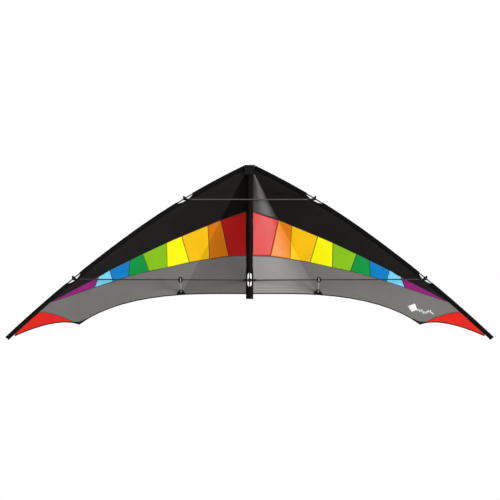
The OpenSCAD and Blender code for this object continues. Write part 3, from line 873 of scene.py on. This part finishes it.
hem_low, hem_high = hem_lines()
hem_columns = grid(hem_low, hem_high, 3)
hem_stitch_line = [mix(a, b, 0.75) for a, b in zip(hem_low, hem_high)][2:-2]
for side, sign in SIDES.items():
    hem = sail_shape(sign, hem_columns, relief=hem_relief, proud=HEM_PROUD).piece(
        f"{side}_hem", hem_tape, "edge_cloth", f"{side}_wing", [f"{side}_trailing_hem"], HEM_T
    )
    sewn = Shape(sign)
    stitch_row(sewn, hem_stitch_line, 0.7)
    sewn.piece(f"{side}_hem_stitches", dark_thread, "edge_cloth", f"{side}_wing")
    panel_area(hem_columns) * 1.05

# ---- Leading-edge sleeve -----------------------------------------------------


def joint_place(name):
    """The joint's place (x, z) in the plane of the frame."""
    x, _, z = joints[name]["pos_m"]
    return x / MM, z / MM


UPPER_JOINT_S = along_edge(joint_place("upper_spreader_swing"))
LOWER_JOINT_S = along_edge(joint_place("right_lower_spreader_swing"))
GAPS = [
    (UPPER_JOINT_S - 45, UPPER_JOINT_S + 45),
    (LOWER_JOINT_S - 40, LOWER_JOINT_S + 40),
]
# The sleeve starts at the nose and has its full width from a little further on
SLEEVE_START = 2
FULL_START = 14
SLEEVE_R = 4.7
SLEEVE_T = 0.5
BESIDE_WEBBING = 1.6
STOPS = [SLEEVE_START, *GAPS[0], *GAPS[1], EDGE_LEN]
SLEEVE_RUNS = list(zip(STOPS[::2], STOPS[1::2]))
FOLD = SLEEVE_W - ROD_INSET
FOLD_Y = outer_depth(edge_point(FULL_START, SLEEVE_W))
# Insets of the two stitch rows, each with its height on the sail
SLEEVE_ROWS = {18.5: 1.9, 20.8: 1.0}


def at_rod(s, n, y):
    """A point n outward from the rod's axis and y behind it, kept beside the webbing."""
    slope = outward(edge_angle(s))[0]
    beside = (WEBBING_HALF_W + BESIDE_WEBBING - edge_point(s, ROD_INSET)[0]) / slope
    x, z = edge_point(s, ROD_INSET - max(n, beside))
    return x, y, z


def tangent(point, radius, turn):
    """Angle of the place where a line from a point touches a circle about the rod."""
    return math.atan2(point[1], point[0]) + turn * math.acos(radius / math.hypot(*point))


def sleeve_outline():
    """The sleeve's outside from its front stitch line, round the rod, to the back one."""
    front, back = (-FOLD, FOLD_Y - 0.55), (-FOLD, FOLD_Y + 1.0)
    start = tangent(front, SLEEVE_R, 1)
    span = (tangent(back, SLEEVE_R, -1) - start) % (2 * math.pi)
    turns = [start + span * k / 16 for k in range(17)]
    arc = [(SLEEVE_R * math.cos(a), SLEEVE_R * math.sin(a)) for a in turns]
    return refine([front, arc[0]], 3)[:-1] + arc + refine([arc[-1], back], 3)[1:]


OUTLINE = sleeve_outline()


def sleeve_run(shape, start, end):
    """The sleeve from one place along the leading edge to another, with waves beside the rod."""
    count = max(int((end - start) / 7), 2)
    rows = []
    for i in range(count + 1):
        s = mix(start, end, i / count)
        wave = 0.18 * math.sin(s / 9) * math.sin(s / 31)
        rows.append([at_rod(s, n + wave * (n < -5), y) for n, y in OUTLINE])
    shape.sheet(rows)


def gap_edge(k):
    """Inset of the cloth's edge in a gap, k from -1 to 1 along it."""
    return 7.8 + 8.5 * (1 - k * k)


def gap_cloth(band, binding, start, end):
    """The flat cloth inside a gap of the sleeve and the binding along its edge."""
    rows, edge = [], []
    for i in range(25):
        k = mix(-1, 1, i / 24)
        s = mix(start, end, (k + 1) / 2)
        inset = gap_edge(k)
        across = [edge_point(s, mix(inset, SLEEVE_W + 1, j / 4)) for j in range(5)]
        rows.append([on_sail(p, 0.2) for p in across])
        edge.append(on_sail(edge_point(s, inset + 0.6), -0.1))
    band.sheet(rows)
    binding.tube(edge, 1.1, 8)


for side, sign in SIDES.items():
    wing = f"{side}_wing"
    shape, band, binding, sewn = Shape(sign), Shape(sign), Shape(sign), Shape(sign)
    for start, end in SLEEVE_RUNS:
        sleeve_run(shape, start, end)
        first = max(start, FULL_START) + 2
        for inset, proud in SLEEVE_ROWS.items():
            path = [edge_point(mix(first, end - 2, i / 60), inset) for i in range(61)]
            stitch_row(sewn, path, proud)
    for start, end in GAPS:
        gap_cloth(band, binding, start, end)
    sleeve = shape.piece(
        f"{side}_sleeve", edge_tape, "edge_cloth", wing, [f"{side}_leading_sleeve"], sharp=60
    )
    thicken(sleeve, SLEEVE_T, offset=0)
    band_obj = band.piece(f"{side}_gap_band", edge_tape, "edge_cloth", wing, thickness=0.6)
    binding_obj = binding.piece(f"{side}_gap_binding", edge_tape, "edge_cloth", wing)
    stitch_obj = sewn.piece(f"{side}_sleeve_stitches", dark_thread, "edge_cloth", wing)

# ---- Centre strip ------------------------------------------------------------

STRIP_TOP = 560
STRIP_BOTTOM = -92
STRIP_FRONT = -4.95
STRIP_BACK = 5.6
STRIP_FLAT_HALF_W = 4.0
STRIP_T = 0.6
STRIP_STITCH_X = 15.6
STRIP_STITCH_LOW = STRIP_BOTTOM + 4
STRIP_STITCH_HIGH = STRIP_TOP - 44


def strip_y(x, z):
    """Front face of the strip: over the spine, then down to the sail beside it."""
    if x <= STRIP_FLAT_HALF_W:
        return STRIP_FRONT + 0.35 * (x / STRIP_FLAT_HALF_W) ** 2
    t = (x - STRIP_FLAT_HALF_W) / (STRIP_HALF_W - STRIP_FLAT_HALF_W)
    end = sail_y((STRIP_HALF_W, min(max(z, -60), 500))) - 0.5
    return mix(STRIP_FRONT + 0.35, end, t * t * (3 - 2 * t))


def strip_half(sign):
    """One half of the strip, from the spine's middle line to its edge."""
    shape = Shape(sign)
    rows = []
    for i in range(151):
        z = mix(STRIP_BOTTOM, STRIP_TOP, i / 150)
        inner = window_x(z) if WINDOW_BOTTOM < z < WINDOW_TOP else 0
        across = [mix(inner, STRIP_HALF_W, j / 8) for j in range(9)]
        rows.append([(x, strip_y(x, z) - 0.05 * math.sin(z / 3.1), z) for x in across])
    shape.sheet(rows)
    fold = [
        (STRIP_FRONT + 0.2, STRIP_BOTTOM), (0, STRIP_BOTTOM - 0.6), (STRIP_BACK, STRIP_BOTTOM),
        (STRIP_BACK + 0.2, -80), (STRIP_BACK, -70),
    ]
    shape.sheet([[(x, y, z) for x in (0, 6, 12, STRIP_HALF_W)] for y, z in refine(fold, 4)])
    return shape


def strip_stitches(sign):
    """A row of stitches along the edge of one half of the strip."""
    shape = Shape(sign)
    count = int((STRIP_STITCH_HIGH - STRIP_STITCH_LOW) / 3)
    for i in range(count):
        z = mix(STRIP_STITCH_LOW, STRIP_STITCH_HIGH, i / count)
        loop = [
            (STRIP_STITCH_X, strip_y(STRIP_STITCH_X, z + dz) - 0.25 - proud, z + dz)
            for dz, proud in ((0.3, 0), (1.4, 0.2), (2.5, 0))
        ]
        shape.tube(loop, 0.3, 4)
    return shape


for side, sign in SIDES.items():
    strip = strip_half(sign).piece(
        f"{side}_strip", strip_tape, "strip_webbing", None, ["spine_strip"], STRIP_T, 50
    )
    sewn_obj = strip_stitches(sign).piece(f"{side}_strip_stitches", dark_thread, "strip_webbing")
    for obj in (strip, sewn_obj):
        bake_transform(obj)

# ---- Nose webbing: over the top of the spine and down both faces --------------

NOSE_T = 1.6
NOSE_STITCH_INSET = 3.5
NOSE_STITCH_H = 30
nose_low, nose_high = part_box("nose_webbing")
low_z = nose_low[2] / MM
top_z = nose_high[2] / MM
half_depth = nose_high[1] / MM
round_z = top_z - half_depth


def nose_outline():
    """The webbing's outside as (y, z), from its front end over the top to its back end."""
    turns = [math.pi * k / 16 for k in range(17)]
    front = [(-half_depth, mix(low_z, round_z, k / 6)) for k in range(6)]
    over = [(-half_depth * math.cos(a), round_z + half_depth * math.sin(a)) for a in turns]
    back = [(half_depth, mix(round_z, low_z, k / 6)) for k in range(1, 7)]
    return front + over + back


def nose_stitches():
    """On both faces, a rectangle of stitches with its two diagonals."""
    shape = Shape()
    x = WEBBING_HALF_W - NOSE_STITCH_INSET
    low, high = low_z + NOSE_STITCH_INSET, low_z + NOSE_STITCH_H
    corners = [(-x, low), (x, low), (x, high), (-x, high)]
    lines = list(zip(corners, corners[1:] + corners[:1]))
    lines += [(corners[0], corners[2]), (corners[1], corners[3])]
    for y in (-half_depth - 0.25, half_depth + 0.25):
        for a, b in lines:
            count = int(math.dist(a, b) / 3)
            for k in range(count):
                p, q = mix(a, b, (k + 0.15) / count), mix(a, b, (k + 0.85) / count)
                shape.tube([(p[0], y, p[1]), (q[0], y, q[1])], 0.35, 4)
    return shape


outline = nose_outline()
columns = [mix(-WEBBING_HALF_W, WEBBING_HALF_W, k / 30) for k in range(31)]
nose = Shape()
nose.sheet([[(x, y * (1 + 0.012 * math.sin(x * 1.3)), z) for x in columns] for y, z in outline])
nose_obj = nose.piece("nose_strap", nose_tape, "nose_webbing", "spine", ["nose_webbing"], sharp=50)
thicken(nose_obj, NOSE_T)
sewn_obj = nose_stitches().piece("nose_stitches", pale_thread, "nose_webbing", "spine")

# ---- Centre tee --------------------------------------------------------------

SPREADER_Y = (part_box("upper_spreader")[0][1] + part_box("upper_spreader")[1][1]) / 2 / MM
SPREADER_LINE = Matrix.Translation((0, SPREADER_Y, 0))
ARM_R = 5.3
GROOVE_R = 4.55
ARM_BORE_R = 3.4
ARM_START = 5.5
# The hub's collar round the spine, as (distance along the spine from the hub's middle, radius) pairs
HUB_COLLAR = [
    (-9, 4.0), (-9, 6.4), (-8.2, 7.0), (-3, 7.0), (-2.4, 6.7),
    (2.4, 6.7), (3, 7.0), (8.2, 7.0), (9, 6.4), (9, 4.0),
]
HUB_SOCKET = [(-7, 2), (-7, 4.7), (-6.4, ARM_R), (6.4, ARM_R), (7, 4.7), (7, 2)]


def arm_profile():
    """The arm from the hub outward: four ribs between grooves, and a rounded end."""
    profile = [(ARM_START, ARM_BORE_R), (ARM_START, 4.7)]
    for k in range(4):
        x = 8 + 5.5 * k
        profile += [(x, ARM_R), (x + 3.6, ARM_R), (x + 4.0, GROOVE_R), (x + 5.1, GROOVE_R)]
    profile += [(TEE_REACH - 1.2, ARM_R), (TEE_REACH - 0.4, 4.75), (TEE_REACH, 4.6)]
    return profile + [(TEE_REACH, ARM_BORE_R)]


hub = Shape()
hub.lathe(Matrix.Rotation(-math.pi / 2, 4, "Y"), HUB_COLLAR, 40, bored=True)
hub.slab(Matrix.Identity(4), (-5.5, SPREADER_Y, -3.5), (5.5, 0, 3.5), 0.8)
hub.lathe(SPREADER_LINE, HUB_SOCKET, 36)
hub.piece("tee_hub", rubber, "black_rubber", "spine", ["centre_tee"])
for side, sign in SIDES.items():
    arm = Shape(sign)
    arm.lathe(SPREADER_LINE, arm_profile(), 36, bored=True)
    arm_obj = arm.piece(f"{side}_tee_arm", rubber, "black_rubber")
    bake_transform(arm_obj)

# ---- Standoffs ---------------------------------------------------------------

standoff_x, standoff_top_z = joint_place("right_standoff_swing")
FOOT_Z = -60
FOOT_GAP = 8.8
HOOK_R = 3.1
HOOK_Y = -6
foot = Vector((standoff_x, sail_y((standoff_x, FOOT_Z)) - FOOT_GAP, FOOT_Z))
top = Vector((standoff_x, SPREADER_Y, standoff_top_z))
rod_way = (foot - top).normalized()
rod_len = (foot - top).length
rod_place = Matrix.Translation(top) @ rod_way.to_track_quat("X", "Z").to_matrix().to_4x4()
pin_place = Matrix.Translation(top + Vector((0, -5, 0))) @ Matrix.Rotation(math.pi / 2, 4, "Y")
SPOOL = [(-7, 3.4), (-7, 6.4), (-6.2, 7), (6.2, 7), (7, 6.4), (7, 3.4)]
SOCKET = [(5, 2.7), (5, 4.6), (22.5, 4.6), (24, 4.0), (24, 2.7)]
PIN = [(-9, 0.5), (-8.6, 2), (-7.5, 3.1), (7.5, 3.1), (8.6, 2), (9, 0.5)]
# Distances back from the foot's end, along the rod
COLLAR = [(31, 2.7), (31, 3.4), (30, 3.8), (17, 4.0), (16.4, 3.7), (16.4, 2.7)]
FOOT_TIP = [(17, 2.6), (17, 3.2), (1.2, 3.4), (0.3, 2.8), (0, 1.6), (0, 0.4)]


def hook_path():
    """The open ring of the hook, round the lower spreader."""
    turns = [math.radians(mix(-70, 235, k / 40)) for k in range(41)]
    return [top + Vector((8.6 * math.cos(a), HOOK_Y, 11.5 * math.sin(a))) for a in turns]


def from_foot(profile):
    """The profile with its distances measured along the rod from the spreader."""
    return [(rod_len - back, r) for back, r in profile]


for side, sign in SIDES.items():
    body = f"{side}_standoff"
    hook = Shape(sign)
    hook.lathe(Matrix.Translation(top), SPOOL, 28, bored=True)
    hook.lathe(rod_place, SOCKET, 28, bored=True)
    hook.tube(hook_path(), HOOK_R, 12)
    hook.piece(f"{side}_standoff_hook", nylon, "black_nylon", body, [f"{side}_standoff_connector"])
    pin = Shape(sign)
    pin.lathe(pin_place, PIN)
    pin.piece(f"{side}_standoff_pin", pale_rod, "pale_fibreglass", body)
    collar = Shape(sign)
    collar.lathe(rod_place, from_foot(COLLAR), 28, bored=True)
    collar.piece(f"{side}_foot_collar", vinyl, "black_vinyl", body, [f"{side}_standoff_cap"])
    tip = Shape(sign)
    tip.lathe(rod_place, from_foot(FOOT_TIP), 28)
    tip.piece(f"{side}_foot_tip", pale_rod, "pale_fibreglass", body)

# ---- Standoff patches --------------------------------------------------------

PATCH_HALF_W = 23
PATCH_H = 26
PATCH_BASE_Z = CREASE_FOOT[1] + HEM_W + 0.3


def patch_lines():
    """Lower and upper edges of the patch, along the hem and up to its point."""
    low, high = [], []
    for i in range(25):
        t = mix(-1, 1, i / 24)
        x = standoff_x + t * PATCH_HALF_W
        z = PATCH_BASE_Z - max(t, 0) + max(-t, 0) * 1.6
        low.append((x, z - 4.5))
        high.append((x, z + 0.6 + (1 - abs(t)) ** 0.9 * PATCH_H))
    return low, high


patch_low, patch_high = patch_lines()
patch_columns = grid(patch_low, patch_high, 10)
patch_stitch_line = [mix(a, b, 0.86) for a, b in zip(patch_low, patch_high)][2:-2]
for side, sign in SIDES.items():
    patch = sail_shape(sign, patch_columns, proud=1.0).piece(
        f"{side}_patch", patch_tape, "patch_cloth", f"{side}_wing", [f"{side}_standoff_patch"], CLOTH_T
    )
    sewn = Shape(sign)
    stitch_row(sewn, patch_stitch_line, 1.35)
    sewn_obj = sewn.piece(f"{side}_patch_stitches", pale_thread, "patch_cloth", f"{side}_wing")
    panel_area(patch_columns)

# ---- Badge: a small printed kite with a wavy tail ----------------------------

BADGE = (846, -143)
BADGE_PROUD = 0.45
TAIL_W = 4.5
badge = Shape()


def badge_quad(points):
    """A printed patch of cloth between four corners, given from the badge's middle."""
    a, b, c, d = [(BADGE[0] + x, BADGE[1] + z) for x, z in points]
    rows = [[mix(mix(a, b, i / 6), mix(d, c, i / 6), j / 6) for j in range(7)] for i in range(7)]
    badge.sheet([[on_sail(p, BADGE_PROUD) for p in row] for row in rows])


def badge_line(points, width):
    """A printed line through the points."""
    for (ax, az), (bx, bz) in zip(points, points[1:]):
        size = math.hypot(bx - ax, bz - az)
        nx, nz = (bz - az) / size * width / 2, -(bx - ax) / size * width / 2
        badge_quad([(ax - nx, az - nz), (bx - nx, bz - nz), (bx + nx, bz + nz), (ax + nx, az + nz)])


badge_quad([(-66, 14), (-30, 27), (-18, -3), (-46, -16)])
wave = [(-22 + 7 * k, -7 - 1.1 * k + 5 * math.sin(k * 0.9)) for k in range(13)]
badge_line(wave, TAIL_W)
for k in (3, 6, 9):
    x, z = wave[k]
    badge_quad([(x - 8, z + 8), (x, z + 2), (x, z - 2), (x - 8, z - 8)])
    badge_quad([(x, z + 2), (x + 8, z + 8), (x + 8, z - 8), (x, z - 2)])
badge.piece("right_badge", white_print, "grey_sailcloth", "right_wing", thickness=0.1)

# ---- CAD pieces that stay, with their materials ------------------------------

KEPT = {
    "spine_rod": carbon_z,
    "spine_sleeve": hem_tape,
    "spine_end_cap": vinyl,
    "upper_spreader": grey_rod,
    "right_upper_connector": nylon,
    "left_upper_connector": rubber,
}
KEPT_PER_SIDE = {
    "lower_spreader": lower_rod,
    "lower_connector": nylon,
    "standoff_rod": pale_rod,
    "standoff_clip": nylon,
    "upper_leading_rod": carbon_x,
    "lower_leading_rod": carbon_x,
    "leading_ferrule": ferrule,
    "tip_nock": vinyl,
}
for side in SIDES:
    KEPT.update({f"{side}_{name}": material for name, material in KEPT_PER_SIDE.items()})
for name, material in KEPT.items():
    node = frame["nodes"][name]
    node.data.materials.clear()
    node.data.materials.append(material)

# ---- Floor, lights and camera ------------------------------------------------

# Places and sizes from here on are in metres
FLOOR_Z = -1.55
FLOOR_R = 3.2
AIM = Vector((0, 0, 0.15))
# The studio's brightness for the cloth, in its reflections and behind the kite
AMBIENT = 0.26
MIRRORED = 0.0
WHITE = 1.0
VIEW_W = 2.46
DISTANCE = 12.0
CENTRE = Vector((0.002, 0, 0.148))
SENSOR_W = 36

bpy.ops.mesh.primitive_circle_add(
    vertices=96, radius=FLOOR_R, fill_type="NGON", location=(0, 0, FLOOR_Z)
)
floor = bpy.context.object
floor.name = "floor"
paint = Shade("floor", 0.9, 0.1)
blots = paint.noise(paint.place(), 400)
floor.data.materials.append(paint.finish(paint.blend(blots, (0.84, 0.84, 0.83), (0.88, 0.88, 0.87))))


def soft_light(name, azimuth, elevation, distance, size, strength):
    """An area light aimed at the kite. Strength is the brightness of a white card facing it."""
    data = bpy.data.lights.new(name, "AREA")
    data.shape = "DISK"
    data.size = size
    data.energy = strength * math.pi**2 * distance**2
    lamp = bpy.data.objects.new(name, data)
    bpy.context.scene.collection.objects.link(lamp)
    a, e = math.radians(azimuth), math.radians(elevation)
    at = Vector((math.sin(a) * math.cos(e), -math.cos(a) * math.cos(e), math.sin(e))) * distance
    lamp.location = at + AIM
    lamp.rotation_euler = (-at).to_track_quat("-Z", "Y").to_euler()


soft_light("key", 45, 8, 7, 2.6, 0.95)
soft_light("top", 0, 88, 4.5, 3, 0.8)
soft_light("back", 180, 25, 7, 4, 0.5)

world = bpy.data.worlds.new("studio")
bpy.context.scene.world = world
world.use_nodes = True
world.cycles.sampling_method = "NONE"
world_nodes, world_links = world.node_tree.nodes, world.node_tree.links
background = world_nodes["Background"]
background.inputs["Color"].default_value = (1, 1, 1, 1)
seen = world_nodes.new("ShaderNodeLightPath")
indirect = world_nodes.new("ShaderNodeMapRange")
indirect.inputs["To Min"].default_value = AMBIENT
indirect.inputs["To Max"].default_value = MIRRORED
world_links.new(seen.outputs["Is Glossy Ray"], indirect.inputs["Value"])
level = world_nodes.new("ShaderNodeMapRange")
level.inputs["To Max"].default_value = WHITE
world_links.new(seen.outputs["Is Camera Ray"], level.inputs["Value"])
world_links.new(indirect.outputs["Result"], level.inputs["To Min"])
world_links.new(level.outputs["Result"], background.inputs["Strength"])

camera_data = bpy.data.cameras.new("camera")
camera_data.sensor_width = SENSOR_W
camera_data.lens = SENSOR_W * DISTANCE / VIEW_W
camera = bpy.data.objects.new("camera", camera_data)
camera.location = CENTRE + Vector((0, -DISTANCE, 0))
camera.rotation_euler = (math.pi / 2, 0, 0)
bpy.context.scene.collection.objects.link(camera)
bpy.context.scene.camera = camera
bpy.context.scene.view_settings.view_transform = "Standard"
